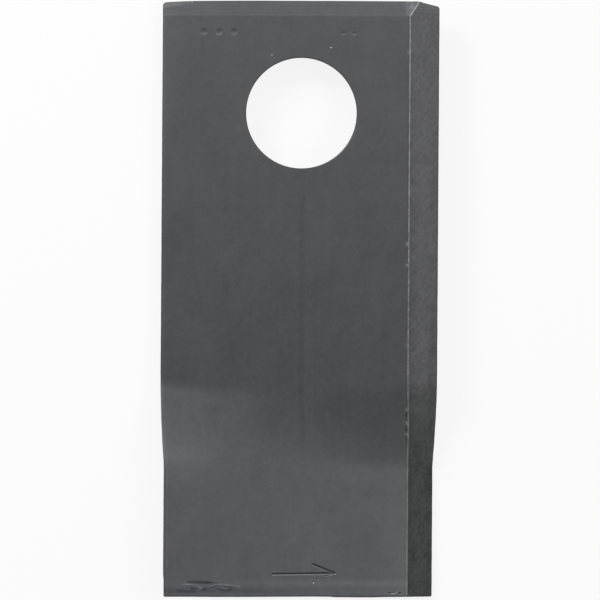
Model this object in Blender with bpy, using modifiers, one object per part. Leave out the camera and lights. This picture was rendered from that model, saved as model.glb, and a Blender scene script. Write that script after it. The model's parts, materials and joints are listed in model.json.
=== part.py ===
# Rotary mower blade: a sheared steel strip with a bolt hole, two opposite bevels and a twisted tip
# The strip runs along Y with its hole end at +Y, and its stamped face is up.

import math

import bmesh
import bpy
from mathutils import Matrix, Vector

# Strip, in metres
LENGTH = 0.1060
WIDTH = 0.0492
THICKNESS = 0.0040

# Bevels: above the right edge and below the left one, so that a worn blade can be turned over
BEVEL_WIDTH = 0.0050
EDGE_LAND = 0.0010  # height of the upright face left along each long edge
EDGE_BREAK = 0.0003  # radius along the rims of the upright faces

# Bolt hole
HOLE_DIAMETER = 0.0197
HOLE_TO_END = 0.0200  # from the hole's centre to the hole end
RIM_BREAK = 0.00025  # chamfer round both rims

# Hole end: shearing rolled its upper edge down and left its face leaning in below
END_ROLL_LENGTH = 0.0028
END_ROLL_DEPTH = 0.00097
END_ROLL_EASE = 0.0004  # over which the roll takes its slope
END_LEAN_DEGREES = 20.0

# Tip end: cut square, with a small roll along its upper edge
TIP_ROLL = 0.0004

# Corners of the strip, seen from above
CORNER_RADIUS = 0.0005

# Twist: it turns the tip's right edge down, which is the edge that leads
TWIST_TO_END = 0.0687  # from the start of the twist to the hole end
TWIST_LENGTH = 0.01475
TWIST_EASE = 0.0023  # over which it eases in, and out again
TWIST_DEGREES = 11.3

# Finish
STEEL_COLOUR = (0.092, 0.093, 0.099, 1.0)
STEEL_METALLIC = 0.6
STEEL_ROUGHNESS = 0.42
CREASE_DEGREES = 25.0  # edges that turn by more than this are shaded sharp

# Fineness of the mesh
ARC_STEPS = 4  # along each broken edge
CORNER_STEPS = 3  # round each corner
END_ROLL_STEPS = 3  # along the ease of the rolled edge
TWIST_STEPS = 26  # along the twist
TWIST_COLUMNS = 12  # across the twisted faces
HOLE_STEPS = 96  # round the bolt hole
OVERRUN = 0.0050  # what the uncut strip and the hole cutter stand past the finished steel
TOUCH = 0.00001  # points nearer than this are one point

HALF_WIDTH = WIDTH / 2
HALF_THICKNESS = THICKNESS / 2
TWIST = math.radians(TWIST_DEGREES)
HOLE_END_Y = LENGTH / 2
TIP_END_Y = -LENGTH / 2
HOLE_Y = HOLE_END_Y - HOLE_TO_END
TWIST_Y = HOLE_END_Y - TWIST_TO_END


def remove_startup_objects():
    for leftover in list(bpy.data.objects):
        bpy.data.objects.remove(leftover, do_unlink=True)


def new_collection(name):
    collection = bpy.data.collections.new(name)
    bpy.context.scene.collection.children.link(collection)
    return collection


def evaluated_mesh(obj):
    depsgraph = bpy.context.evaluated_depsgraph_get()
    return bpy.data.meshes.new_from_object(obj.evaluated_get(depsgraph))


def dark_steel():
    material = bpy.data.materials.new("dark rolled steel")
    material.use_nodes = True
    shader = material.node_tree.nodes["Principled BSDF"]
    shader.inputs["Base Color"].default_value = STEEL_COLOUR
    shader.inputs["Metallic"].default_value = STEEL_METALLIC
    shader.inputs["Roughness"].default_value = STEEL_ROUGHNESS
    return material


def rounded(before, corner, after, radius):
    # An arc, clockwise, that touches both sides of a corner of the section.
    to_before = (before - corner).normalized()
    to_after = (after - corner).normalized()
    half_angle = to_before.angle(to_after) / 2
    sweep = math.pi - 2 * half_angle
    centre = corner + (to_before + to_after).normalized() * radius / math.sin(half_angle)
    spoke = corner + to_before * radius / math.tan(half_angle) - centre
    return [
        centre + Matrix.Rotation(-sweep * step / ARC_STEPS, 2) @ spoke
        for step in range(ARC_STEPS + 1)
    ]


def section():
    # Clockwise from the left edge over the stamped face to the right edge, as (x, z).
    # The underside is the same half, turned by half a turn about the strip's long axis.
    left_foot = Vector((-HALF_WIDTH, HALF_THICKNESS - EDGE_LAND))
    left_rim = Vector((-HALF_WIDTH, HALF_THICKNESS))
    bevel_top = Vector((HALF_WIDTH - BEVEL_WIDTH, HALF_THICKNESS))
    bevel_foot = Vector((HALF_WIDTH, EDGE_LAND - HALF_THICKNESS))
    half = rounded(left_foot, left_rim, bevel_top, EDGE_BREAK)
    half += [bevel_top]
    half += rounded(bevel_top, bevel_foot, -left_rim, EDGE_BREAK)
    return half + [-point for point in half]


def extruded_strip():
    # The section is drawn flat and extruded, then turned so that it runs along Y.
    points = section()
    curve = bpy.data.curves.new("strip section", "CURVE")
    curve.dimensions = "2D"
    curve.fill_mode = "BOTH"
    curve.extrude = LENGTH / 2 + OVERRUN
    spline = curve.splines.new("POLY")
    spline.points.add(len(points) - 1)
    for spline_point, (x, z) in zip(spline.points, points):
        spline_point.co = (x, z, 0, 1)
    spline.use_cyclic_u = True
    drawing = bpy.data.objects.new("strip section", curve)
    bpy.context.scene.collection.objects.link(drawing)
    mesh = evaluated_mesh(drawing)
    bpy.data.objects.remove(drawing, do_unlink=True)
    bpy.data.curves.remove(curve)
    mesh.transform(Matrix.Rotation(math.radians(90), 4, "X"))
    return mesh


def everything(bm):
    return bm.verts[:] + bm.edges[:] + bm.faces[:]


def trim(bm, point, normal):
    # Cuts off what lies beyond a plane, and closes the cut with one face.
    cut = bmesh.ops.bisect_plane(
        bm, geom=everything(bm), plane_co=point, plane_no=normal, clear_outer=True
    )
    rim = [item for item in cut["geom_cut"] if isinstance(item, bmesh.types.BMEdge)]
    bmesh.ops.edgeloop_fill(bm, edges=rim)


def round_corners(bm, middle, end_face):
    # Planes that touch an arc between an end face and each long edge.
    for side in (Vector((-1, 0, 0)), Vector((1, 0, 0))):
        centre = middle + side * (HALF_WIDTH - CORNER_RADIUS) - end_face * CORNER_RADIUS
        for step in range(1, CORNER_STEPS + 1):
            turn = math.radians(90) * step / (CORNER_STEPS + 1)
            facing = end_face * math.cos(turn) + side * math.sin(turn)
            trim(bm, centre + facing * CORNER_RADIUS, facing)


def eased(run, ease):
    # What a turn or a slope has gained after this run, if it takes the ease to reach its full rate.
    if run < ease:
        return max(run, 0) ** 2 / (2 * ease)
    return run - ease / 2


def roll_hole_end(bm):
    # The rolled edge bends out of the stamped face, then slopes straight down to the shoulder.
    runs = [END_ROLL_EASE * step / END_ROLL_STEPS for step in range(END_ROLL_STEPS + 1)]
    curve = []
    for run in runs + [END_ROLL_LENGTH]:
        share = eased(run, END_ROLL_EASE) / eased(END_ROLL_LENGTH, END_ROLL_EASE)
        y = HOLE_END_Y - END_ROLL_LENGTH + run
        curve.append(Vector((0, y, HALF_THICKNESS - END_ROLL_DEPTH * share)))
    for upper, lower in zip(curve, curve[1:]):
        trim(bm, lower, (0, upper.z - lower.z, lower.y - upper.y))


def trim_ends(bm):
    lean = math.radians(END_LEAN_DEGREES)
    shoulder = Vector((0, HOLE_END_Y, HALF_THICKNESS - END_ROLL_DEPTH))
    end_face = Vector((0, math.cos(lean), -math.sin(lean)))
    trim(bm, shoulder, end_face)
    round_corners(bm, shoulder, end_face)
    roll_hole_end(bm)
    tip = Vector((0, TIP_END_Y, 0))
    tip_face = Vector((0, -1, 0))
    trim(bm, tip, tip_face)
    round_corners(bm, tip, tip_face)
    trim(bm, (0, TIP_END_Y, HALF_THICKNESS - TIP_ROLL), (0, -1, 1))


def twist_at(y):
    # The strip was turned between two jaws, so the twist is steady between a short ease at each.
    run = TWIST_Y - y
    steady = TWIST_LENGTH - TWIST_EASE
    return TWIST * (eased(run, TWIST_EASE) - eased(run - steady, TWIST_EASE)) / steady


def crosses_twist(edge):
    # True for an edge that runs across one of the wide faces inside the twist.
    first, second = (vert.co for vert in edge.verts)
    past_start = TWIST_Y + TOUCH > max(first.y, second.y)
    before_finish = TWIST_Y - TWIST_LENGTH - TOUCH < min(first.y, second.y)
    return past_start and before_finish and abs(first.x - second.x) > HALF_WIDTH


def twist_tip(bm):
    for step in range(TWIST_STEPS + 1):
        station = (0, TWIST_Y - TWIST_LENGTH * step / TWIST_STEPS, 0)
        bmesh.ops.bisect_plane(bm, geom=everything(bm), plane_co=station, plane_no=(0, 1, 0))
    wide = [edge for edge in bm.edges if crosses_twist(edge)]
    bmesh.ops.subdivide_edges(bm, edges=wide, cuts=TWIST_COLUMNS - 1, use_grid_fill=True)
    for vert in bm.verts:
        vert.co = Matrix.Rotation(twist_at(vert.co.y), 3, "Y") @ vert.co


def strip_mesh():
    mesh = extruded_strip()
    bm = bmesh.new()
    bm.from_mesh(mesh)
    bmesh.ops.remove_doubles(bm, verts=bm.verts, dist=TOUCH)
    bmesh.ops.dissolve_limit(bm, angle_limit=math.radians(1), verts=bm.verts, edges=bm.edges)
    trim_ends(bm)
    twist_tip(bm)
    bm.to_mesh(mesh)
    bm.free()
    return mesh


def hole_cutter(collection):
    # A turned profile, from its top down, that flares past each rim and so breaks it.
    radius = HOLE_DIAMETER / 2
    flare = RIM_BREAK + OVERRUN
    half_profile = [
        (0, HALF_THICKNESS + OVERRUN),
        (radius + flare, HALF_THICKNESS + OVERRUN),
        (radius, HALF_THICKNESS - RIM_BREAK),
    ]
    profile = half_profile + [(x, -z) for x, z in reversed(half_profile)]
    mesh = bpy.data.meshes.new("bolt hole cutter")
    bm = bmesh.new()
    verts = [bm.verts.new((x, 0, z)) for x, z in profile]
    for upper, lower in zip(verts, verts[1:]):
        bm.edges.new((upper, lower))
    bm.to_mesh(mesh)
    bm.free()
    cutter = bpy.data.objects.new("bolt hole cutter", mesh)
    collection.objects.link(cutter)
    cutter.location = (0, HOLE_Y, 0)
    cutter.hide_render = True
    cutter.display_type = "WIRE"
    turn = cutter.modifiers.new("Turn", "SCREW")
    turn.steps = HOLE_STEPS
    turn.render_steps = HOLE_STEPS
    turn.use_merge_vertices = True
    turn.merge_threshold = TOUCH
    return cutter


def drill(blade, cutter):
    hole = blade.modifiers.new("Bolt hole", "BOOLEAN")
    hole.operation = "DIFFERENCE"
    hole.solver = "EXACT"
    hole.object = cutter
    blade.data = evaluated_mesh(blade)
    blade.modifiers.clear()


def finish(blade):
    blade.data.name = "blade"
    blade.data.materials.clear()
    blade.data.materials.append(dark_steel())
    blade.data.shade_smooth()
    blade.data.set_sharp_from_angle(angle=math.radians(CREASE_DEGREES))
    normals = blade.modifiers.new("Flat faces stay flat", "WEIGHTED_NORMAL")
    normals.keep_sharp = True


def rest_tilt():
    # The blade lies on the foot of its left bevel and on the tip's lower right edge.
    # This turn about its long axis brings those two lines level.
    left = Vector((BEVEL_WIDTH - HALF_WIDTH, -HALF_THICKNESS))
    right = Matrix.Rotation(-TWIST, 2) @ Vector((HALF_WIDTH - EDGE_BREAK, -HALF_THICKNESS))
    return math.atan2(left.y - right.y, right.x - left.x)


def lay_down(blade):
    # The ground is at zero, and the origin is under the middle of the bounding box.
    turn = Matrix.Rotation(-rest_tilt(), 3, "Y")
    points = [turn @ vert.co for vert in blade.data.vertices]
    low = Vector([min(point[axis] for point in points) for axis in range(3)])
    high = Vector([max(point[axis] for point in points) for axis in range(3)])
    middle = (low + high) / 2
    blade.rotation_euler = turn.to_euler()
    blade.location = (-middle.x, -middle.y, -low.z)


def main():
    remove_startup_objects()
    parts = new_collection("rotary mower blade")
    cutters = new_collection("cutters")
    blade = bpy.data.objects.new("blade", strip_mesh())
    parts.objects.link(blade)
    cutter = hole_cutter(cutters)
    drill(blade, cutter)
    finish(blade)
    lay_down(blade)
    cutter.parent = blade


main()
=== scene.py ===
import json
import math

import bmesh
import bpy
from mathutils import Matrix, Vector, noise


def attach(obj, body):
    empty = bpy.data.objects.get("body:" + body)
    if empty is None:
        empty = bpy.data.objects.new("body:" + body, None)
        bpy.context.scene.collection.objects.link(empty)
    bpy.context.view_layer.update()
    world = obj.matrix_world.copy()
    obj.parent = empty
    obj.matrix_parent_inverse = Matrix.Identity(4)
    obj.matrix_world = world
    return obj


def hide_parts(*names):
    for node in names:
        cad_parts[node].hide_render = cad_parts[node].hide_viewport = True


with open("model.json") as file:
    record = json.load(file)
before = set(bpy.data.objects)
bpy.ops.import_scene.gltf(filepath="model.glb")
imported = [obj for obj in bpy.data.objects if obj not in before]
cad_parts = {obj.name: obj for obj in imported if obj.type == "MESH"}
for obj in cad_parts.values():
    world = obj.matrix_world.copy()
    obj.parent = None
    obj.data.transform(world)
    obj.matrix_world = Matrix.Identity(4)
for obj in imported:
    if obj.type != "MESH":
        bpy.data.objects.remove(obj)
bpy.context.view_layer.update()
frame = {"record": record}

scene = bpy.context.scene
print("frame loaded")

# The steel is worked in millimetres, as a straight strip: x across it, y towards the hole end, z up.
# When its marks and its relief are on, the tip is twisted, and the whole is scaled to metres and laid down.
strip = {
    "length": 106.0,
    "width": 49.18,
    "thickness": 4.0,
    "bevelWidth": 5.04,
    "land": 1.0,  # upright face left along each long edge
    "squareRim": 0.17,  # bevel offset along the two square rims
    "footRim": 0.15,  # and along the two bevel feet
    "rimSegments": 5,
    "rimSlack": 10,  # degrees by which the turn at a rim may miss the one looked for
    "spare": 3.0,  # stands past each end until it is sheared
}
holeEnd = {
    "rollLength": 2.8,  # the shear drew the upper rim down over this length
    "rollDepth": 0.97,
    "rollEase": 0.4,
    "lean": math.radians(20),
    "cornerRadii": (0.70, 0.45),  # left and right
    "inset": [  # x, and how far in the cut runs there
        (-24.6, 0.46),
        (-23.4, 0.37),
        (-21.4, 0.27),
        (-19.3, 0.17),
        (-15.0, 0.11),
        (-9.0, 0.05),
        (8.0, 0.0),
    ],
    "bevelInset": 0.14,  # added across the bevel
}
tipEnd = {
    "rollLength": 0.38,
    "rollDepth": 0.30,
    "rollEase": 0.30,
    "cornerRadii": (0.25, 0.45),
    "inset": [
        (-12.0, 0.0),
        (0.0, 0.09),
        (5.8, 0.09),
        (6.4, 0.0),
        (13.0, 0.0),
        (17.0, 0.09),
        (22.0, 0.13),
    ],
    "bevelInset": 0.0,
}
rollSteps = 3  # planes along the ease of each roll
cornerSteps = 5  # turns round each corner
twist = {
    "start": -15.7,
    "length": 14.75,
    "ease": 2.3,
    "angle": math.radians(11.26),
    "bow": 1.7,  # the long edges start to turn this much earlier than the middle
}
bolt = {
    "x": 0.14,
    "y": 33.0,
    "radius": 9.81,
    "rim": 0.20,  # radius of the rolled rim above, and width of the broken one below
    "breakout": 0.10,  # how much wider the hole is at its foot
    "breakoutTop": -0.2,  # z where it starts to widen
    "segments": 160,
    "reach": 4.0,  # of the cutter, above and below the steel's middle
    "mouth": 0.4,  # how far it stands out past the rim above
    "mouthLift": 0.01,  # and over the face
    "overrun": 0.3,  # the broken rim runs on this far past the underside
    "footSpare": 1.0,  # the cutter's lower end is this much wider than the hole
}
grid = {  # lines cut into the faces, for the relief to bend
    "across": 1.0,
    "along": 0.35,
    "snap": 1e-5,
    "sides": (1.2, 1.0),  # left bare along the left and right edges
    "ends": (0.7, 2.6),  # and along the tip and the hole end
    "onFlat": [0.04, 0.10, 0.16, 0.22, 0.28, 0.36, 0.45, 0.55, 0.65, 0.80, 1.10],  # from a bevel's top edge
    "onBevel": [0.12, 0.22, 0.34, 0.50, 0.80, 1.10],
    "burrZone": 1.5,  # to each side of that edge there are no other lines
    "atRims": [0.75, 0.5],  # from each long edge
    "atTipStep": [5.8, 6.1, 6.4],  # x, where the tip's cut steps
}

metre = 1000.0  # in the strip's millimetres
halfWidth = strip["width"] / 2
halfThick = strip["thickness"] / 2
halfLength = strip["length"] / 2
bevelTop = halfWidth - strip["bevelWidth"]
bevelSlope = (strip["thickness"] - strip["land"]) / strip["bevelWidth"]
landTilt = (halfThick - strip["land"] / 2) / halfWidth  # of a line through the middles of both lands


def everything(bm):
    return bm.verts[:] + bm.edges[:] + bm.faces[:]


def cutOff(bm, point, normal):
    cut = bmesh.ops.bisect_plane(
        bm, geom=everything(bm), plane_co=point, plane_no=normal, clear_outer=True
    )
    rim = [item for item in cut["geom_cut"] if isinstance(item, bmesh.types.BMEdge)]
    if rim:
        bmesh.ops.edgeloop_fill(bm, edges=rim)


def stripBlank():
    # six corners of the section, clockwise from the upper left rim
    # the lower three are the upper three, turned half round
    corners = [(-halfWidth, halfThick), (bevelTop, halfThick), (halfWidth, strip["land"] - halfThick)]
    corners += [(-x, -z) for x, z in corners]
    reach = halfLength + strip["spare"]
    bm = bmesh.new()
    section = bm.faces.new([bm.verts.new((x, -reach, z)) for x, z in corners])
    grown = bmesh.ops.extrude_face_region(bm, geom=[section])
    moved = [item for item in grown["geom"] if isinstance(item, bmesh.types.BMVert)]
    bmesh.ops.translate(bm, verts=moved, vec=(0, 2 * reach, 0))
    bmesh.ops.recalc_face_normals(bm, faces=bm.faces)
    footTurn = 90 - math.degrees(math.atan(bevelSlope))
    for turn, offset in ((90, strip["squareRim"]), (footTurn, strip["footRim"])):
        rims = [
            edge
            for edge in bm.edges
            if abs(edge.verts[0].co.y - edge.verts[1].co.y) > reach
            and abs(math.degrees(edge.calc_face_angle()) - turn) < strip["rimSlack"]
        ]
        bmesh.ops.bevel(
            bm,
            geom=rims,
            offset=offset,
            offset_type="OFFSET",
            segments=strip["rimSegments"],
            profile=0.5,
            affect="EDGES",
            material=-1,
        )
    return bm


def eased(run, ease):
    # what a turn or a slope has gained after this run, if it takes the ease to reach its full rate
    return max(run, 0) ** 2 / (2 * ease) if run < ease else run - ease / 2


def rolledDown(run, end):
    # the drop of an end's upper rim, this far from where it leaves the face
    return end["rollDepth"] * eased(run, end["rollEase"]) / eased(end["rollLength"], end["rollEase"])


def rollRim(bm, endY, outward, end):
    # a few planes bend out of the face, and one slopes straight on to the end
    runs = [end["rollEase"] * step / rollSteps for step in range(rollSteps + 1)] + [end["rollLength"]]
    curve = []
    for run in runs:
        y = endY - outward * (end["rollLength"] - run)
        curve.append(Vector((0, y, halfThick - rolledDown(run, end))))
    for upper, lower in zip(curve, curve[1:]):
        cutOff(bm, lower, (0, outward * (upper.z - lower.z), abs(lower.y - upper.y)))


def roundCorners(bm, endPoint, endNormal, radii):
    for side, radius in zip((Vector((-1, 0, 0)), Vector((1, 0, 0))), radii):
        corner = Vector((side.x * halfWidth, endPoint.y, endPoint.z))
        centre = corner - side * radius - endNormal * radius
        for step in range(1, cornerSteps):
            turn = math.radians(90 * step / cornerSteps)
            facing = endNormal * math.cos(turn) + side * math.sin(turn)
            cutOff(bm, centre + facing * radius, facing)


def shearEnds(bm):
    lean = holeEnd["lean"]
    shoulder = Vector((0, halfLength, halfThick - holeEnd["rollDepth"]))
    facing = Vector((0, math.cos(lean), -math.sin(lean)))
    cutOff(bm, shoulder, facing)
    roundCorners(bm, shoulder, facing, holeEnd["cornerRadii"])
    rollRim(bm, halfLength, 1, holeEnd)
    tip = Vector((0, -halfLength, 0))
    cutOff(bm, tip, (0, -1, 0))
    roundCorners(bm, tip, Vector((0, -1, 0)), tipEnd["cornerRadii"])
    rollRim(bm, -halfLength, -1, tipEnd)


# Marks stamped into the upper face while the strip is still straight
arrow = {
    "strokes": [  # from, to, width and depth where it starts, and where it ends
        ((-4.95, -48.90), (6.35, -48.70), 0.50, 0.11, 0.54, 0.13),
        ((2.35, -47.12), (6.30, -48.66), 0.54, 0.13, 0.50, 0.12),
        ((4.60, -49.20), (5.60, -48.98), 0.24, 0.05, 0.34, 0.08),
    ],
    "foot": (2.50, -50.38),  # the lower barb only printed its foot and its root
    "footRadius": 0.26,
    "footDepth": 0.07,
}
strokeKeel = -0.12  # the die leaned: its keel lies off the stroke's middle by this share of the width
strokePoint = 0.9  # and each end runs out to a point past the stroke by this share of it
testDimples = {
    "places": [(-17.3, 47.35), (-14.6, 47.35), (-11.9, 47.35), (7.45, 47.2), (9.45, 47.2)],
    "radii": [0.62, 0.62, 0.62, 0.42, 0.42],
    "depth": 0.075,
}
gouges = [  # a short cut that the shear left beside the tip, given as the strokes are
    ((16.10, -52.22), (18.35, -52.26), 0.34, 0.08, 0.40, 0.10),
]


def strokeCutter(bm, start, end, startWidth, startDepth, endWidth, endDepth):
    # a wedge with its keel down, pulled to a point past each end
    start = Vector((*start, halfThick))
    end = Vector((*end, halfThick))
    along = (end - start).normalized()
    across = along.cross(Vector((0, 0, 1)))
    rings = []
    for place, width, depth in ((start, startWidth, startDepth), (end, endWidth, endDepth)):
        wide = across * width
        top = Vector((0, 0, depth))
        keel = [place + wide + top, place - wide + top, place - top - wide * strokeKeel]
        rings.append([bm.verts.new(point) for point in keel])
    section = bm.faces.new(rings[0])
    other = bm.faces.new(reversed(rings[1]))
    edges = section.edges[:] + other.edges[:]
    bmesh.ops.bridge_loops(bm, edges=edges)
    for face, direction, width in ((section, -along, startWidth), (other, along, endWidth)):
        poked = bmesh.ops.poke(bm, faces=[face])
        for vert in poked["verts"]:
            vert.co += direction * width * strokePoint


def ballCutter(bm, place, radius, depth):
    # a ball that leaves a dimple of this radius and depth
    ball = (radius**2 + depth**2) / (2 * depth)
    centre = Matrix.Translation((place[0], place[1], halfThick + ball - depth))
    bmesh.ops.create_icosphere(bm, subdivisions=5, radius=ball, matrix=centre)


def boltCutter(bm):
    # half of the hole's section, spun: rolled in above, straight, then broken out wider below
    radius = bolt["radius"]
    rim = bolt["rim"]
    reach = bolt["reach"]
    mouth = radius + rim + bolt["mouth"]
    foot = radius + bolt["breakout"]
    section = [(0.0, reach), (mouth, reach), (mouth, halfThick + bolt["mouthLift"])]
    for step in range(strip["rimSegments"] + 1):
        turn = math.radians(90 * step / strip["rimSegments"])
        section.append((radius + rim - rim * math.sin(turn), halfThick - rim + rim * math.cos(turn)))
    section += [(radius, bolt["breakoutTop"]), (foot, -halfThick + rim)]
    section += [(foot + rim + bolt["overrun"], -halfThick - bolt["overrun"])]
    section += [(radius + bolt["footSpare"], -reach), (0.0, -reach)]
    verts = [bm.verts.new((bolt["x"] + x, bolt["y"], z)) for x, z in section]
    edges = [bm.edges.new(pair) for pair in zip(verts, verts[1:])]
    bmesh.ops.spin(
        bm,
        geom=verts + edges,
        cent=(bolt["x"], bolt["y"], 0),
        axis=(0, 0, 1),
        dvec=(0, 0, 0),
        angle=math.tau,
        steps=bolt["segments"],
        use_merge=True,
    )
    bmesh.ops.remove_doubles(bm, verts=bm.verts, dist=1e-4)


def newObject(name, bm):
    bmesh.ops.recalc_face_normals(bm, faces=bm.faces)
    mesh = bpy.data.meshes.new(name)
    bm.to_mesh(mesh)
    bm.free()
    made = bpy.data.objects.new(name, mesh)
    scene.collection.objects.link(made)
    return made


def stamp(blank, cutters):
    # each cutter is subtracted in turn, then thrown away
    for number, build in enumerate(cutters):
        bm = bmesh.new()
        build(bm)
        cutter = newObject(f"cutter{number}", bm)
        cut = blank.modifiers.new("Cut", "BOOLEAN")
        cut.operation = "DIFFERENCE"
        cut.solver = "EXACT"
        cut.object = cutter
        depsgraph = bpy.context.evaluated_depsgraph_get()
        blank.data = bpy.data.meshes.new_from_object(blank.evaluated_get(depsgraph))
        blank.modifiers.clear()
        bpy.data.objects.remove(cutter, do_unlink=True)


def cutters():
    made = [boltCutter]
    for stroke in arrow["strokes"] + gouges:
        made.append(lambda bm, stroke=stroke: strokeCutter(bm, *stroke))
    made.append(lambda bm: ballCutter(bm, arrow["foot"], arrow["footRadius"], arrow["footDepth"]))
    for place, radius in zip(testDimples["places"], testDimples["radii"]):
        depth = testDimples["depth"] * radius / max(testDimples["radii"])
        made.append(lambda bm, dimple=(place, radius, depth): ballCutter(bm, *dimple))
    return made


def highest(item, axis):
    verts = [item] if isinstance(item, bmesh.types.BMVert) else item.verts
    return max(vert.co[axis] for vert in verts)


def layGrid(bm, axis, places):
    # from low to high, so that each cut meets only what is left beyond the last one
    beyond = everything(bm)
    normal = Vector((0, 0, 0))
    normal[axis] = 1
    for place in sorted(places):
        cut = bmesh.ops.bisect_plane(
            bm, geom=beyond, dist=grid["snap"], plane_co=normal * place, plane_no=normal
        )
        beyond = [item for item in cut["geom"] if highest(item, axis) > place + grid["snap"]]


def acrossPlaces():
    fromMiddle = [bevelTop]
    fromMiddle += [bevelTop - step for step in grid["onFlat"]]
    fromMiddle += [bevelTop + step for step in grid["onBevel"]]
    fromMiddle += [halfWidth - step for step in grid["atRims"]]
    places = [side * x for x in fromMiddle for side in (-1, 1)] + grid["atTipStep"]
    left, right = grid["sides"]
    x = -halfWidth + left
    while x < halfWidth - right:
        if abs(abs(x) - bevelTop) > grid["burrZone"]:
            places.append(x)
        x += grid["across"]
    return places


def alongPlaces():
    places = []
    tip, hole = grid["ends"]
    y = -halfLength + tip
    while y < halfLength - hole:
        places.append(y)
        y += grid["along"]
    return places


# Relief of the worked faces. "inward" is the distance from a bevel's top edge onto the flat.
# Each form says how wide and high it is, and how it looks: 1 is a bare crest, -1 dark scale in a dip, and
# both are partly painted highlight and painted shade of the relief.
burr = {
    "crest": (0.20, 0.11, 0.020, 0.0),  # inward, width, height and look
    "dip": (0.45, 0.13, -0.015, -0.25),
    "bevelDip": (-0.22, 0.14, -0.014, -0.35),
    "strength": (0.75, 0.55, 0.45),  # mean, and how far its slow and its quick waves swing it
    "leastAndMost": (0.15, 1.35),
    "ragged": (0.35, 1.2),  # mean and slow waves of the dip in the bevel
    "raggedEnd": (46.0, 0.15),  # above this y that gains this much a millimetre
    "fadeBelow": -27.0,  # below this y the burr was brushed down
    "faded": 0.35,
    "lump": (0.45, 0.24, 0.030, 1.5),  # of a knot, as the crest is given
    "lumpLength": 0.28,
    "pit": (0.48, 0.17, -0.045, -0.95),
    "pitLength": 0.75,
    "pitBehind": 0.95,  # how far towards the tip it lies from its knot
    "knots": [  # y, and the sizes of the knot and of its pit
        (44.0, 0.4, 0.0),
        (9.86, 0.9, 0.0),
        (6.13, 0.8, 0.0),
        (-8.0, 0.4, 0.0),
        (-19.6, 0.9, 1.0),
        (-22.0, 0.8, 1.0),
        (-23.9, 0.9, 0.6),
    ],
}
wrinkles = {
    "below": -49.0,  # there are none above this y
    "patch": (-22.9, -10.0, -52.6, -49.6),  # low and high x, low and high y of the finer mesh
    "cuts": 4,
    "folds": [  # from, to, half width, height and look
        ((-20.6, -50.42), (-15.9, -50.48), 0.30, -0.060, -0.9),
        ((-17.2, -50.42), (-14.9, -50.56), 0.18, -0.025, -0.45),
        ((-21.2, -50.80), (-18.6, -50.74), 0.11, 0.030, 0.8),
        ((-18.6, -50.76), (-17.6, -51.70), 0.10, 0.025, 0.7),
        ((-19.9, -51.40), (-18.7, -51.62), 0.18, -0.040, -0.8),
        ((-17.8, -51.92), (-16.3, -51.34), 0.20, -0.050, -0.9),
        ((-16.3, -51.34), (-14.8, -51.02), 0.15, -0.045, -0.8),
        ((-17.0, -51.36), (-14.9, -50.74), 0.09, 0.025, 0.7),
        ((-14.9, -50.72), (-12.4, -50.88), 0.11, 0.035, 0.9),
        ((-12.4, -50.88), (-10.6, -51.20), 0.10, 0.025, 0.6),
        ((-15.2, -51.44), (-13.5, -51.90), 0.12, -0.035, -0.8),
        ((-13.5, -51.90), (-12.1, -51.56), 0.12, -0.035, -0.8),
        ((-14.2, -51.12), (-12.0, -51.42), 0.10, -0.030, -0.7),
        ((-14.4, -51.48), (-12.8, -51.50), 0.16, 0.020, 0.25),
        ((-22.4, -52.00), (-18.8, -52.20), 0.24, -0.030, -0.5),
    ],
}
endReach = {1: 4.0, -1: 1.2}  # how far from the hole end and from the tip its cut's wander is felt
shear = {
    "waviness": 0.03,
    "fracture": 0.07,
    "burnished": 1.1,  # height below the shoulder that the blade of the shear polished
    "rows": 6,
    "bevelFade": (1.4, 0.7),  # the bevel's own inset starts this far down it, and eases in over this
    "longEdge": 0.025,
    "longEdgeDepth": 0.32,  # its dents reach this far in
    "tipNarrow": (-49.0, 0.10),  # below this y the left edge is ground in by this much
}
# How near a point must be to count as on a face, a long rim or a sheared end
near = {"face": 0.012, "rim": 0.2, "end": 0.02}


def bell(value, centre, width):
    return math.exp(-(((value - centre) / width) ** 2))


def between(value, low, high):
    return min(max(value, low), high)


def wander(x, y, seed):
    return noise.noise(Vector((x, y, seed * 7.3)))


def sideOf(x, z):
    # 1 on the stamped face and its bevel, -1 on the underside and its own
    return 1 if z + x * landTilt > 0 else -1


def endDrop(y, side):
    # how far the shear drew the stamped face down
    return rolledDown(y - halfLength + holeEnd["rollLength"], holeEnd) if side == 1 else 0


def readOff(points, place):
    # straight between the points, level past the first and the last
    for (start, low), (finish, high) in zip(points, points[1:]):
        if place < finish:
            return low + (high - low) * between((place - start) / (finish - start), 0, 1)
    return points[-1][1]


def burrAt(inward, y, seed):
    mean, slow, quick = burr["strength"]
    strength = mean + slow * wander(y * 0.55, 0.0, seed) + quick * wander(y * 2.1, 4.0, seed)
    strength = between(strength, *burr["leastAndMost"])
    mean, slow = burr["ragged"]
    endY, gain = burr["raggedEnd"]
    ragged = between(mean + slow * wander(y * 0.45, 9.0, seed) + max(y - endY, 0) * gain, 0, 1)
    if y < burr["fadeBelow"]:
        strength *= burr["faded"]
    shares = (
        strength * bell(inward, *burr["crest"][:2]) * between(inward * 10, 0, 1),
        strength * bell(inward, *burr["dip"][:2]),
        ragged * strength * bell(inward, *burr["bevelDip"][:2]),
    )
    forms = (burr["crest"], burr["dip"], burr["bevelDip"])
    height = sum(share * form[2] for share, form in zip(shares, forms))
    look = sum(share * form[3] for share, form in zip(shares, forms))
    for knot, lumpSize, pitSize in burr["knots"]:
        lump = lumpSize * bell(y, knot, burr["lumpLength"]) * bell(inward, *burr["lump"][:2])
        torn = 1 + 1.5 * wander(y * 2.4, inward * 3.0, 21)
        pit = pitSize * torn * bell(y, knot - burr["pitBehind"], burr["pitLength"])
        pit *= bell(inward, *burr["pit"][:2])
        height += burr["lump"][2] * lump + burr["pit"][2] * pit
        look += burr["lump"][3] * lump + burr["pit"][3] * pit
    return height, look


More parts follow.
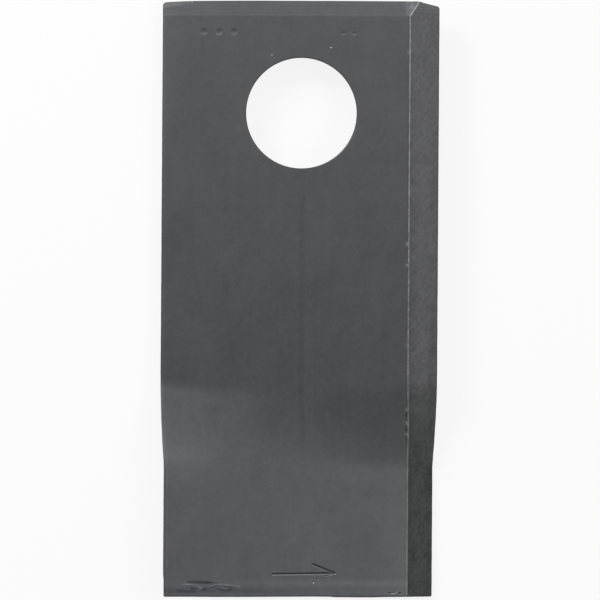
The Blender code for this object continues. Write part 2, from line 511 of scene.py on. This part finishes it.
def wrinkleAt(x, y):
    height = 0.0
    look = 0.0
    spot = Vector((x, y))
    for start, finish, wide, tall, shade in wrinkles["folds"]:
        start = Vector(start)
        run = Vector(finish) - start
        share = between((spot - start).dot(run) / run.length_squared, 0, 1)
        slim = 0.35 + 0.65 * math.sqrt(4 * share * (1 - share))  # pointed at both ends
        form = slim * bell((spot - start - run * share).length, 0, wide * slim)
        height += tall * form
        look += shade * form
    return height, look


def subdividePatch(bm):
    lowX, highX, lowY, highY = wrinkles["patch"]
    inside = [
        face
        for face in bm.faces
        if face.normal.z > 0.9  # it looks up
        and lowX < face.calc_center_median().x < highX
        and lowY < face.calc_center_median().y < highY
    ]
    edges = dict.fromkeys(edge for face in inside for edge in face.edges)
    bmesh.ops.subdivide_edges(bm, edges=list(edges), cuts=wrinkles["cuts"], use_grid_fill=True)


def subdivideEnds(bm):
    # rows down the two sheared faces, by cutting the edges that run down them
    leastDrop = 0.9
    nearEnd = halfLength - 2.0
    upright = [
        edge
        for edge in bm.edges
        if abs(edge.verts[0].co.z - edge.verts[1].co.z) > leastDrop
        and min(abs(vert.co.y) for vert in edge.verts) > nearEnd
    ]
    bmesh.ops.subdivide_edges(bm, edges=upright, cuts=shear["rows"] - 1, use_grid_fill=True)


def endInset(x, outward):
    # how far in the cut runs at this x
    end = holeEnd if outward == 1 else tipEnd
    wave = 0.5 + 0.8 * wander(x * 0.22, 1.0, 3 * outward) + 0.35 * wander(x * 1.1, 2.0, outward)
    inset = shear["waviness"] * between(wave, 0, 1.2) + readOff(end["inset"], x)
    start, run = shear["bevelFade"]
    return inset + end["bevelInset"] * between((x - bevelTop - start) / run, 0, 1)


def raiseRelief(bm):
    # the look of each point: wear and dark scale, and in part painted light and shade of the relief
    wearAndPaintedLight = bm.verts.layers.float.new("wearAndPaintedLight")
    shoulderZ = halfThick - holeEnd["rollDepth"]
    lean = math.tan(holeEnd["lean"])
    for vert in bm.verts:
        x, y, z = vert.co
        side = sideOf(x, z)
        drop = endDrop(y, side)
        inward = bevelTop + drop / bevelSlope - x * side
        onFlat = abs(z * side - halfThick + drop) < near["face"]
        onBevel = inward < 0 and abs(x) < halfWidth - near["rim"]
        if onFlat or onBevel:
            height, look = burrAt(inward, y, side)
            if side == 1 and y < wrinkles["below"]:
                foldHeight, foldLook = wrinkleAt(x, y)
                height += foldHeight
                look += foldLook
            vert.co.z += side * height
            vert[wearAndPaintedLight] = between(look, -1, 1)
        if abs(x) > halfWidth - shear["longEdgeDepth"]:
            dent = 0.5 + wander(y * 0.7, z * 0.6, 5 * side) + 0.6 * wander(y * 2.6, z, 9)
            inset = shear["longEdge"] * between(dent, 0, 1)
            start, narrow = shear["tipNarrow"]
            if x < 0:
                inset += narrow * between(start - y, 0, 1)
            vert.co.x -= math.copysign(inset, x)
        # the end that is nearer, and how far this point is from its sheared face
        outward = 1 if y > 0 else -1
        facing = y + (shoulderZ - z) * lean if outward == 1 else -y
        fromFace = halfLength - facing
        reach = endReach[outward]
        if fromFace < reach:
            vert.co.y -= outward * endInset(x, outward) * (1 - fromFace / reach)
        if fromFace < near["end"] and z < shoulderZ - shear["burnished"]:
            rough = 0.5 + 0.6 * wander(x * 0.9, z * 1.4, 11) + 0.5 * wander(x * 2.7, z * 3.1, 12)
            vert.co.y -= outward * shear["fracture"] * between(rough, 0, 1.3)


def paintWallLight(bm):
    # in a stamped mark the wall that faces the hole end gets a painted highlight, and the other a painted
    # shade, by which way each faces
    contrast = 2.4
    wallPaintedLight = bm.faces.layers.float.new("wallPaintedLight")
    for face in bm.faces:
        x, y, z = face.calc_center_median()
        clearOfSides = 0.6 - halfWidth < x < bevelTop - 0.3
        clearOfEnds = 0.5 - halfLength < y < halfLength - 3
        clearOfBolt = math.hypot(x - bolt["x"], y - bolt["y"]) > bolt["radius"] + 0.6
        sunk = halfThick - 0.3 < z < halfThick - 0.004
        if clearOfSides and clearOfEnds and clearOfBolt and sunk:
            face[wallPaintedLight] = between(face.normal.y * contrast, -1, 1)


def rememberPlaces(bm):
    # where each point was on the straight strip, for the materials
    layer = bm.verts.layers.float_vector.new("strip")
    for vert in bm.verts:
        vert[layer] = vert.co.copy()


def twistTip(bm):
    ease = twist["ease"]
    for vert in bm.verts:
        early = twist["bow"] * (vert.co.x / halfWidth) ** 2
        steady = twist["length"] + early - ease
        run = twist["start"] + early - vert.co.y
        turn = twist["angle"] * (eased(run, ease) - eased(run - steady, ease)) / steady
        vert.co = Matrix.Rotation(turn, 3, "Y") @ vert.co


def layOnGround(bm):
    # the two clamp faces of the frame say where the flat part lies
    mounts = {mount["name"]: mount for mount in frame["record"]["mounts"]}
    upper = Vector(mounts["upper_clamp_face"]["pos_m"])
    lower = Vector(mounts["lower_clamp_face"]["pos_m"])
    facing = upper - lower
    middle = (upper + lower) / 2
    turn = Matrix.Rotation(math.atan2(facing.x, facing.z), 4, "Y")
    place = Matrix.Translation((middle.x, 0, middle.z)) @ turn @ Matrix.Scale(1 / metre, 4)
    bmesh.ops.transform(bm, matrix=place, verts=bm.verts)


def smoothShading(made, creaseDegrees, weight):
    made.data.shade_smooth()
    made.data.set_sharp_from_angle(angle=math.radians(creaseDegrees))
    level = made.modifiers.new("Flat faces stay flat", "WEIGHTED_NORMAL")
    level.keep_sharp = True
    level.weight = weight


blankMesh = stripBlank()
shearEnds(blankMesh)
print("blank", len(blankMesh.faces), "faces, closed", all(edge.is_manifold for edge in blankMesh.edges))
blade = newObject("steelBlade", blankMesh)
stamp(blade, cutters())
print("stamped", len(blade.data.polygons), "faces")

bm = bmesh.new()
bm.from_mesh(blade.data)
layGrid(bm, 0, acrossPlaces())
layGrid(bm, 1, alongPlaces())
subdividePatch(bm)
subdivideEnds(bm)
rememberPlaces(bm)
paintWallLight(bm)
raiseRelief(bm)
twistTip(bm)
layOnGround(bm)
print("blade", len(bm.faces), "faces, closed", all(edge.is_manifold for edge in bm.edges))
bm.to_mesh(blade.data)
bm.free()
smoothShading(blade, creaseDegrees=20, weight=60)


class Wire:
    # an output socket that works in Python expressions
    def __init__(self, tree, socket=None):
        self.tree = tree
        self.socket = socket

    def node(self, kind, settings, values, output=0):
        added = self.tree.nodes.new(kind)
        for name, setting in settings.items():
            setattr(added, name, setting)
        for name, value in values.items():
            if isinstance(value, Wire):
                self.tree.links.new(value.socket, added.inputs[name])
            else:
                added.inputs[name].default_value = value
        return Wire(self.tree, added.outputs[output] if added.outputs else None)

    def out(self, name):
        return Wire(self.tree, self.socket.node.outputs[name])

    def math(self, operation, *values):
        return self.node("ShaderNodeMath", {"operation": operation}, dict(enumerate(values)))

    def __add__(self, other):
        return self.math("ADD", self, other)

    def __radd__(self, other):
        return self.math("ADD", other, self)

    def __sub__(self, other):
        return self.math("SUBTRACT", self, other)

    def __rsub__(self, other):
        return self.math("SUBTRACT", other, self)

    def __mul__(self, other):
        return self.math("MULTIPLY", self, other)

    def __rmul__(self, other):
        return self.math("MULTIPLY", other, self)

    def __abs__(self):
        return self.math("ABSOLUTE", self)

    def __gt__(self, other):
        return self.math("GREATER_THAN", self, other)

    def __lt__(self, other):
        return self.math("LESS_THAN", self, other)


def emptyTree(owner):
    # the cleared node tree of a material or a world
    owner.use_nodes = True
    owner.node_tree.nodes.clear()
    return Wire(owner.node_tree)


def rise(value, low, high):
    # 0 below low, 1 above high, eased between; low may be the greater
    settings = {"interpolation_type": "SMOOTHSTEP", "clamp": True}
    return value.node("ShaderNodeMapRange", settings, {"Value": value, "From Min": low, "From Max": high})


def lineAt(value, centre, half):
    # 1 along a line, easing to 0 at this distance from it
    return rise(abs(value - centre), half, half * 0.3)


def stretched(place, x, y, z):
    return place.node("ShaderNodeVectorMath", {"operation": "MULTIPLY"}, {0: place, 1: (x, y, z)})


def turned(place, angle):
    values = {"Vector": place, "Angle": angle}
    return place.node("ShaderNodeVectorRotate", {"rotation_type": "Z_AXIS"}, values)


def distance(place, x, y):
    # from an upright line through this point
    flat = stretched(place, 1, 1, 0)
    return flat.node("ShaderNodeVectorMath", {"operation": "DISTANCE"}, {0: flat, 1: (x, y, 0)}, "Value")


def patch(place, x, y, halfX, halfY):
    # 1 in the middle of an ellipse, easing to 0 at its edge
    return rise(distance(stretched(place, 1 / halfX, 1 / halfY, 1), x / halfX, y / halfY), 1.0, 0.0)


def clouds(place, scale, detail, rough=0.5):
    # -0.5 to 0.5, roughly
    values = {"Vector": place, "Scale": scale, "Detail": detail, "Roughness": rough}
    return place.node("ShaderNodeTexNoise", {}, values, "Fac") - 0.5


def spots(x, y, z, shift, share):
    # small round spots of several sizes, in this share of the cells, and others on the underside
    where = x.node("ShaderNodeCombineXYZ", {}, {"X": x + z * 31 + shift, "Y": y})
    settings = {"voronoi_dimensions": "2D"}
    values = {"Vector": where, "Scale": steel["spotCells"]}
    cells = where.node("ShaderNodeTexVoronoi", settings, values, "Distance")
    chance = cells.node("ShaderNodeSeparateColor", {}, {0: cells.out("Color")}, "Red")
    least, spread = steel["spotSize"]
    size = chance.out("Green") * spread + least
    return (chance > 1 - share) * rise(cells, size, size * 0.4) * (chance.out("Blue") * 0.7 + 0.3)


def tinted(tone, colour):
    return tone.node("ShaderNodeVectorMath", {"operation": "SCALE"}, {0: colour, "Scale": tone})


def blended(share, first, second):
    return share.node("ShaderNodeMix", {"data_type": "RGBA"}, {0: share, 6: first, 7: second}, 2)


steel = {
    "face": (0.0545, 0.0556, 0.0590),
    "bevel": (0.0735, 0.0740, 0.0765),
    "bevelTipShaded": (0.0455, 0.0477, 0.0463),  # past the twist: painted shade of the bevel there
    "bevelTurns": (-14.0, -24.0),  # y where it starts to change to that, and where it has
    "sheared": (0.064, 0.065, 0.067),
    "bore": (0.044, 0.045, 0.047),
    "bare": (0.30, 0.30, 0.31),
    "bright": (0.80, 0.80, 0.80),
    "blued": (0.052, 0.055, 0.066),  # the scale round the crumpled spot
    "bluedPatch": (-17.0, -51.4, 9.0, 2.6),  # x, y, half width and half length
    "bluedShare": 0.8,
    "metallic": 0.70,
    "faceRoughness": 0.42,
    "bevelRoughness": 0.40,
    "shearedRoughness": 0.55,
    "bareRoughness": 0.34,
    "millBlotches": 0.90,
    "streaks": 0.10,
    "centreStreak": (0.4, 0.75, 0.10),  # x, half width and how dark
    "centreFades": [(23.5, 18.0), (-34.0, -20.0)],  # y where it is gone, and where it is whole
    "faceShades": [  # painted light along the strip: y where each starts, y where it is whole, and how light
        (-18.0, 50.0, 0.22),
        (-19.0, -31.0, 0.20),
    ],
    "rollLightBand": (42.0, 48.0, 50.2, 50.8, 0.05),  # a painted light band below the roll: y where it starts, is whole, fades and ends, and how light
    "rightSideLight": (12.0, 19.0, 0.03),  # painted light on the right: x where it starts, x where it is whole, and how light
    "rightTipLight": (-33.0, -38.0, 0.09),  # painted light on the right near the tip: y and y alike, and what it gains there
    "lightAndShadePatches": [  # patches, most of them painted light and shade: x, y, half width, half length, and how dark, or light below 0
        (8.0, -10.0, 20.0, 20.0, 0.08),
        (-19.6, 19.0, 0.9, 5.0, 0.07),
        (-26.0, 46.0, 8.0, 34.0, -0.14),
        (-25.0, -29.0, 10.0, 6.0, -0.12),
        (10.0, -34.0, 12.0, 5.0, 0.06),
        (-19.0, -31.0, 9.0, 4.0, -0.14),
    ],
    "tipLightBands": [  # painted light and shade beside the tip's cut: y, half width, how light at the left, and the gain to the right
        (-50.5, 1.0, 0.10, 0.18),
        (-51.9, 0.9, -0.26, 0.32),
    ],
    "tipLightBandGain": (-16.0, 10.0),  # x where that gain starts, and where it is whole
    "drawnLines": (50.2, 51.0, 0.30),  # y, y and how strong, where the shear drew the roll's skin out
    "endHighlightLines": [  # painted highlights along the cuts: y, half width and how light
        (-52.58, 0.13, 0.40),
        (52.46, 0.16, 0.20),
        (51.85, 0.15, 0.10),
    ],
    "rimLine": (0.45, 0.20),  # middle and half width of a lighter line, in from each long edge
    "rimLineOnFace": 0.22,
    "rimLineOnBevel": 0.10,
    "bevelMottle": 0.75,
    "wheelMarks": 0.5,
    "bevelFine": 0.75,
    "bevelOily": (-18.0, -26.0),  # y where the dark mottle past the twist starts, and where it is whole
    "bevelShades": [  # painted light along the strip, as on the face
        (-20.0, 50.0, 0.27),
    ],
    "bevelLightBands": [  # painted light and shade in and past the twist, as the roll's band is given
        (-17.0, -20.0, -29.0, -33.0, 0.10),
        (-28.0, -31.0, -35.0, -39.0, -0.12),
    ],
    "bevelLift": -0.09,
    "bevelCrownLight": (2.3, 2.8, 0.22),  # painted light along the bevel's middle: middle, half width and how light, down from its top edge
    "crownFades": (45.0, 5.0),
    "rippleLight": (11.8, 0.14, 0.22),  # painted light and shade where it runs off the hole end: waves, their depth, and how light
    "rippleLightStart": (50.6, 52.2),
    "burrLine": (0.18, 0.16),  # middle and half width, inward from the bevel's top edge
    "burrShare": (0.12, 0.62),  # least, and what the unbroken stretches gain
    "burrHoleEnd": (12.0, 20.0, 0.13),  # y, y, and what it gains towards the hole end
    "burrBare": 0.95,
    "burrDull": 0.35,  # what brushing left of the line past the twist; the two gains below bring it back
    "burrGains": [(-30.0, -26.0, 0.40), (-20.0, -16.0, 0.25)],
    "cornerFrom": (18.2, 50.2),  # x and y where it starts, beside the burr's end
    "cornerWhole": (19.1, 50.7),
    "cornerBare": (0.07, 0.20),  # how bare it is at least, and how much more in the waves
    "dipScaleAndShade": 0.70,  # how dark the scale and painted shade in a dip is
    "wallPaintedShade": 0.75,  # and the painted shade on a stamped wall that faces the tip
    # how bare a crest is, partly wear and partly a painted highlight
    "crestBareAndHighlight": 0.40,
    # the painted highlight on a stamped wall that faces the hole end
    "wallPaintedHighlight": 0.20,
    "nickBright": 0.50,
    "nicks": [  # bare spots where something struck it: x, y, half width and half length
        (-5.15, 43.28, 0.16, 0.16),
        (5.30, 44.68, 0.32, 0.16),
        (2.50, -50.38, 0.20, 0.18),
        (17.0, -52.30, 0.75, 0.13),
        (17.6, -52.10, 0.45, 0.10),
        (23.1, 50.45, 0.42, 0.16),
    ],
    "spotCells": 0.36,  # to a millimetre
    "spotSize": (0.02, 0.04),  # of a cell: the smallest, and what the largest has more
    "chips": 0.05,  # share of the cells with a bright chip
    "pits": 0.015,  # and with a dark pit
    "chipBare": 0.26,
    "pitDark": 0.30,
    "grain": 0.000006,  # height of the rolled texture, in metres
    "grainSheared": 4.0,  # times that on the sheared faces
    "grainChips": 1.5,  # and on the chips
    "roughnessSwing": 0.06,
    "shearedMottle": 0.5,
}


# How far each kind of surface stops short of its edge, or the bore's runs past its own
margin = {"bevelTop": 0.01, "bevelFoot": 0.1, "holeEnd": 0.03, "tip": 0.02, "longEdge": 0.04, "bore": 0.12}


def surfaceKinds(place, x, y, z):
    # 1 on each kind of surface and 0 off it, with the distance inward from the bevel's top edge
    above = (z + x * landTilt) > 0
    rollSlope = holeEnd["rollDepth"] / eased(holeEnd["rollLength"], holeEnd["rollEase"])
    past = y.math("MAXIMUM", y - (halfLength - holeEnd["rollLength"] + holeEnd["rollEase"] / 2), 0.0)
    inward = bevelTop + past * above * (rollSlope / bevelSlope) - x * (above * 2 - 1)
    onBevel = (inward < -margin["bevelTop"]) * (abs(x) < halfWidth - margin["bevelFoot"])
    lean = math.tan(holeEnd["lean"])
    shoulder = halfLength - (halfThick - holeEnd["rollDepth"]) * lean
    onHoleEnd = (y - z * lean) > shoulder - margin["holeEnd"]
    onEnd = onHoleEnd.math("MAXIMUM", onHoleEnd, y < -halfLength + margin["tip"])
    onSheared = onEnd.math("MAXIMUM", onEnd, abs(x) > halfWidth - margin["longEdge"])
    onBore = distance(place, bolt["x"], bolt["y"]) < bolt["radius"] + margin["bore"]
    return inward, onBevel, onSheared, onBore


def bandAt(y, start, whole, last, end, light):
    # across the strip, eased in at one side and out at the other
    return rise(y, start, whole) * rise(y, end, last) * light


def rimLine(x):
    inset, half = steel["rimLine"]
    return lineAt(abs(x), halfWidth - inset, half)


def faceToneAndLight(place, x, y):
    # soft blotches drawn out along the strip, faint streaks, and one dark streak down the middle, with
    # painted light and shade on top
    blotches = clouds(stretched(place, 1.0, 0.7, 1.0), 0.12, 6.0, 0.95)
    streaks = clouds(stretched(place, 0.9, 0.016, 1.0), 1.0, 5.0, 0.6)
    middle, halfSpan, dark = steel["centreStreak"]
    wandering = clouds(stretched(place, 0.3, 0.12, 1), 1.0, 2.0) * 0.5
    centreStreak = lineAt(x + wandering, middle, halfSpan) * dark
    for gone, whole in steel["centreFades"]:
        centreStreak = centreStreak * rise(y, gone, whole)
    tone = 1 + blotches * steel["millBlotches"] + streaks * steel["streaks"] - centreStreak
    # painted light along the strip, below the roll and to the right
    for start, whole, light in steel["faceShades"]:
        tone = tone + rise(y, start, whole) * light
    tone = tone + bandAt(y, *steel["rollLightBand"])
    start, whole, light = steel["rightSideLight"]
    tipStart, tipWhole, tipGain = steel["rightTipLight"]
    tone = tone + rise(x, start, whole) * (rise(y, tipStart, tipWhole) * tipGain + light)
    # patches, most of them painted light and shade
    for patchX, patchY, halfX, halfY, dark in steel["lightAndShadePatches"]:
        tone = tone - patch(place, patchX, patchY, halfX, halfY) * dark
    # painted light and shade beside the tip's cut, painted highlight lines along both cuts, and a lighter
    # line inside each long rim
    wavy = y + clouds(stretched(place, 0.12, 0.0, 0.0), 1.0, 2.0) * 0.5
    across = rise(x, *steel["tipLightBandGain"])
    share = 0.75 + clouds(stretched(place, 0.5, 0.5, 1.0), 1.0, 3.0) * 1.6
    # painted light and shade in bands beside the tip's cut
    for bandY, half, left, gain in steel["tipLightBands"]:
        tone = tone + rise(abs(wavy - bandY), half, 0.0) * (share + 0.4) * (across * gain + left)
    # painted highlight lines along both cuts
    for lineY, half, light in steel["endHighlightLines"]:
        tone = tone + lineAt(y, lineY, half) * share * light
    start, whole, strength = steel["drawnLines"]
    drawn = clouds(stretched(place, 0.06, 2.2, 1.0), 1.0, 3.0, 0.6) * rise(y, start, whole) * strength
    return tone + drawn + rimLine(x) * share * steel["rimLineOnFace"]


def bevelTone(place, x, y):
    # ground: mottled, with painted light along its middle, and slanting marks of the wheel
    mottle = clouds(place, 0.35, 4.0, 0.8)
    wheel = clouds(stretched(turned(place, 0.7), 3.2, 0.35, 1.0), 1.0, 3.0)
    fine = clouds(stretched(place, 1.0, 0.7, 1.0), 1.8, 3.0, 0.7)
    oily = clouds(stretched(place, 1.0, 0.6, 1.0), 0.30, 3.0, 0.6) * 1.1 + mottle * 0.5 + fine * 0.3
    tone = 1 + mottle * steel["bevelMottle"] + wheel * steel["wheelMarks"] + fine * steel["bevelFine"]
    tone = tone + oily * rise(y, *steel["bevelOily"]) + steel["bevelLift"]
    # painted light along the strip, and in and past the twist
    for start, whole, light in steel["bevelShades"]:
        tone = tone + rise(y, start, whole) * light
    for band in steel["bevelLightBands"]:
        tone = tone + bandAt(y, *band)
    # painted light along the bevel's middle
    middle, half, light = steel["bevelCrownLight"]
    crown = rise(abs(abs(x) - bevelTop - middle), half, 0.0) - 0.5
    tone = tone + crown * rise(y, *steel["crownFades"]) * light
    # painted light and shade of ripples where it ran off the hole end
    waves, depth, light = steel["rippleLight"]
    rippleLight = (y * waves).math("SINE", y * waves) * depth + light
    tone = tone + rippleLight * rise(y, *steel["rippleLightStart"])
    return tone + rimLine(x) * steel["rimLineOnBevel"]


def bladeSteel():
    material = bpy.data.materials.new("darkRolledSteel")
    bench = emptyTree(material)
    place = bench.node("ShaderNodeAttribute", {"attribute_name": "strip"}, {}, "Vector")
    # wear and dark scale of the relief, partly painted light and shade
    wearAndPaintedLight = bench.node("ShaderNodeAttribute", {"attribute_name": "wearAndPaintedLight"}, {}, "Fac")
    # painted light and shade of the stamped walls, by which way each faces
    wallPaintedLight = bench.node("ShaderNodeAttribute", {"attribute_name": "wallPaintedLight"}, {}, "Fac")
    x = place.node("ShaderNodeSeparateXYZ", {}, {0: place}, "X")
    y = x.out("Y")
    z = x.out("Z")
    inward, onBevel, onSheared, onBore = surfaceKinds(place, x, y, z)
    onFlats = abs(z) > halfThick - 0.02
    chips = spots(x, y, z, 0.0, steel["chips"]) * onFlats
    pits = spots(x, y, z, 470.0, steel["pits"]) * onFlats

    # the burr along each bevel's top edge is bare and bright, and broken here and there
    unbroken = rise(clouds(stretched(place, 1.0, 0.7, 1.0), 1.3, 5.0, 0.8), -0.16, 0.16)
    least, share = steel["burrShare"]
    start, whole, gain = steel["burrHoleEnd"]
    burrLine = lineAt(inward, *steel["burrLine"]) * (least + unbroken * share + rise(y, start, whole) * gain)
    brushed = steel["burrDull"]
    for start, whole, gain in steel["burrGains"]:
        brushed = brushed + rise(y, start, whole) * gain
    burrLine = burrLine * brushed * (abs(z) < halfThick + 0.01)
    # beside the burr's end the roll is rubbed bare in slanting waves
    waves = rise(clouds(stretched(turned(place, 0.6), 2.4, 0.7, 1.0), 1.0, 2.0), -0.15, 0.15)
    fromX, fromY = steel["cornerFrom"]
    wholeX, wholeY = steel["cornerWhole"]
    corner = rise(x, fromX, wholeX) * rise(y, fromY, wholeY) * (1 - onBevel) * (abs(z) < halfThick)
    nicks = patch(place, *steel["nicks"][0])
    for nick in steel["nicks"][1:]:
        nicks = nicks + patch(place, *nick)

    bluing = patch(place, *steel["bluedPatch"]) * steel["bluedShare"]
    faceBase = blended(bluing, (*steel["face"], 1), (*steel["blued"], 1))
    # past the twist the bevel's colour darkens to a painted shade
    pastTwist = rise(y, *steel["bevelTurns"])
    bevelBase = blended(pastTwist, (*steel["bevel"], 1), (*steel["bevelTipShaded"], 1))
    faceColour = tinted(faceToneAndLight(place, x, y), faceBase)
    bevelColour = tinted(bevelTone(place, x, y), bevelBase)
    colour = blended(onBevel, faceColour, bevelColour)
    shearedTone = 1 + clouds(stretched(place, 1.5, 1.5, 0.4), 1.0, 4.0) * steel["shearedMottle"]
    colour = blended(onSheared, colour, tinted(shearedTone, steel["sheared"]))
    colour = blended(onBore, colour, tinted(shearedTone, steel["bore"]))
    # dips of the relief darken, as dark scale and as painted shade
    darkened = 1 + wearAndPaintedLight.math("MINIMUM", wearAndPaintedLight, 0.0) * steel["dipScaleAndShade"]
    # stamped walls that face the tip get painted shade
    darkened = darkened + wallPaintedLight.math("MINIMUM", wallPaintedLight, 0.0) * steel["wallPaintedShade"] - pits * steel["pitDark"]
    # crests of the relief go bare, as wear and as a painted highlight
    bareAndHighlit = wearAndPaintedLight.math("MAXIMUM", wearAndPaintedLight, 0.0) * steel["crestBareAndHighlight"]
    # and those that face the hole end get a painted highlight
    bareAndHighlit = bareAndHighlit + wallPaintedLight.math("MAXIMUM", wallPaintedLight, 0.0) * steel["wallPaintedHighlight"]
    least, inWaves = steel["cornerBare"]
    bareAndHighlit = bareAndHighlit + burrLine * steel["burrBare"] + corner * (least + waves * inWaves)
    bareAndHighlit = bareAndHighlit + chips * steel["chipBare"]
    # bare steel and painted highlights are mixed in over the darkened colour
    colour = blended(bareAndHighlit, tinted(darkened, colour), (*steel["bare"], 1))
    colour = blended(nicks * (z > 0) * steel["nickBright"], colour, (*steel["bright"], 1))

    roughness = steel["faceRoughness"] + clouds(place, 0.3, 3.0) * steel["roughnessSwing"]
    roughness = roughness + onBevel * (steel["bevelRoughness"] - steel["faceRoughness"])
    roughness = roughness + onSheared * (steel["shearedRoughness"] - steel["faceRoughness"])
    roughness = roughness - burrLine * (steel["faceRoughness"] - steel["bareRoughness"])

    grain = clouds(stretched(place, 1.0, 0.35, 1.0), 3.2, 4.0, 0.6)
    grain = grain + clouds(place, 2.4, 5.0, 0.7) * (onSheared * steel["grainSheared"] + onBevel)
    grain = grain + chips * steel["grainChips"]
    values = {"Height": grain, "Distance": steel["grain"], "Strength": 1.0}
    bumps = grain.node("ShaderNodeBump", {}, values, "Normal")

    shader = bench.node(
        "ShaderNodeBsdfPrincipled",
        {},
        {"Base Color": colour, "Metallic": steel["metallic"], "Roughness": roughness, "Normal": bumps},
    )
    bench.node("ShaderNodeOutputMaterial", {}, {"Surface": shader})
    return material


blade.data.materials.clear()
blade.data.materials.append(bladeSteel())
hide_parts("blade")
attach(blade, "root")
print("blade finished")

ground = {"size": 3.0, "colour": (0.95, 0.95, 0.95), "glow": 0.86}
worldLight = 0.25


def seenBare(bench):
    # 1 where the camera sees it, straight, in a reflection or through glass
    seen = bench.node("ShaderNodeLightPath", {}, {}, "Is Camera Ray")
    seen = seen + seen.out("Is Glossy Ray") + seen.out("Is Transmission Ray")
    return seen.math("MINIMUM", seen, 1.0)


def layGround():
    bm = bmesh.new()
    bmesh.ops.create_grid(bm, x_segments=1, y_segments=1, size=ground["size"] / 2)
    floor = newObject("paleFloor", bm)
    material = bpy.data.materials.new("paleFloor")
    bench = emptyTree(material)
    diffuse = bench.node("ShaderNodeBsdfDiffuse", {}, {"Color": (*ground["colour"], 1)})
    glow = bench.node("ShaderNodeEmission", {}, {"Color": (1, 1, 1, 1), "Strength": 1.0})
    share = seenBare(bench) * ground["glow"]
    both = share.node("ShaderNodeMixShader", {}, {0: share, 1: diffuse, 2: glow})
    bench.node("ShaderNodeOutputMaterial", {}, {"Surface": both})
    floor.data.materials.append(material)


def paleWorld(light):
    world = bpy.data.worlds.new("paleStudio")
    scene.world = world
    bench = emptyTree(world)
    lit = bench.node("ShaderNodeBackground", {}, {"Color": (1, 1, 1, 1), "Strength": light})
    white = bench.node("ShaderNodeBackground", {}, {"Color": (1, 1, 1, 1), "Strength": 1.0})
    share = seenBare(bench)
    both = share.node("ShaderNodeMixShader", {}, {0: share, 1: lit, 2: white})
    bench.node("ShaderNodeOutputWorld", {}, {"Surface": both})


lamps = {  # place, size and power
    "leftSoftbox": ((-0.365, 0.324, 0.349), 0.22, 2.40),
    "endSoftbox": ((0.112, 0.372, 0.458), 0.22, 0.41),
    "sideSoftbox": ((0.333, 0.0, 0.499), 0.22, 0.53),
    "nearSoftbox": ((0.0, 0.12, 0.30), 0.15, 0.03),
}


def hangLamps():
    for name, (place, size, power) in lamps.items():
        light = bpy.data.lights.new(name, "AREA")
        light.shape = "SQUARE"
        light.size = size
        light.energy = power
        lamp = bpy.data.objects.new(name, light)
        lamp.location = place
        lamp.visible_camera = False
        lamp.rotation_euler = (-Vector(place)).to_track_quat("-Z", "Y").to_euler()
        scene.collection.objects.link(lamp)


layGround()
paleWorld(worldLight)
hangLamps()
print("floor and lamps")

camera = {
    "distance": 3.0,
    "frameWidth": 0.10663,  # what the picture's 600 pixels span at the blade
    "aim": (0.000107, -0.000195),  # the picture's middle, across and along the strip
    "roll": math.radians(0.375),
    "sensor": 36.0,
}


def placeCamera():
    # it looks straight at the flat part's upper face
    upper = next(mount for mount in frame["record"]["mounts"] if mount["name"] == "upper_clamp_face")
    facing = Vector(upper["axis"]).normalized()
    up = Vector((0, 1, 0))
    right = up.cross(facing).normalized()
    middle = Vector((0, 0, Vector(upper["pos_m"]).z - halfThick / metre * facing.z))
    target = middle + right * camera["aim"][0] + up * camera["aim"][1]
    made = bpy.data.cameras.new("photographersCamera")
    made.sensor_width = camera["sensor"]
    made.lens = camera["sensor"] * camera["distance"] / camera["frameWidth"]
    made.clip_start = 0.01
    made.clip_end = 20.0
    eye = bpy.data.objects.new("photographersCamera", made)
    basis = Matrix((right, up, facing)).transposed().to_4x4()
    stand = Matrix.Translation(target + facing * camera["distance"])
    eye.matrix_world = stand @ basis @ Matrix.Rotation(camera["roll"], 4, "Z")
    scene.collection.objects.link(eye)
    scene.camera = eye


placeCamera()
scene.view_settings.view_transform = "Standard"
print("camera")
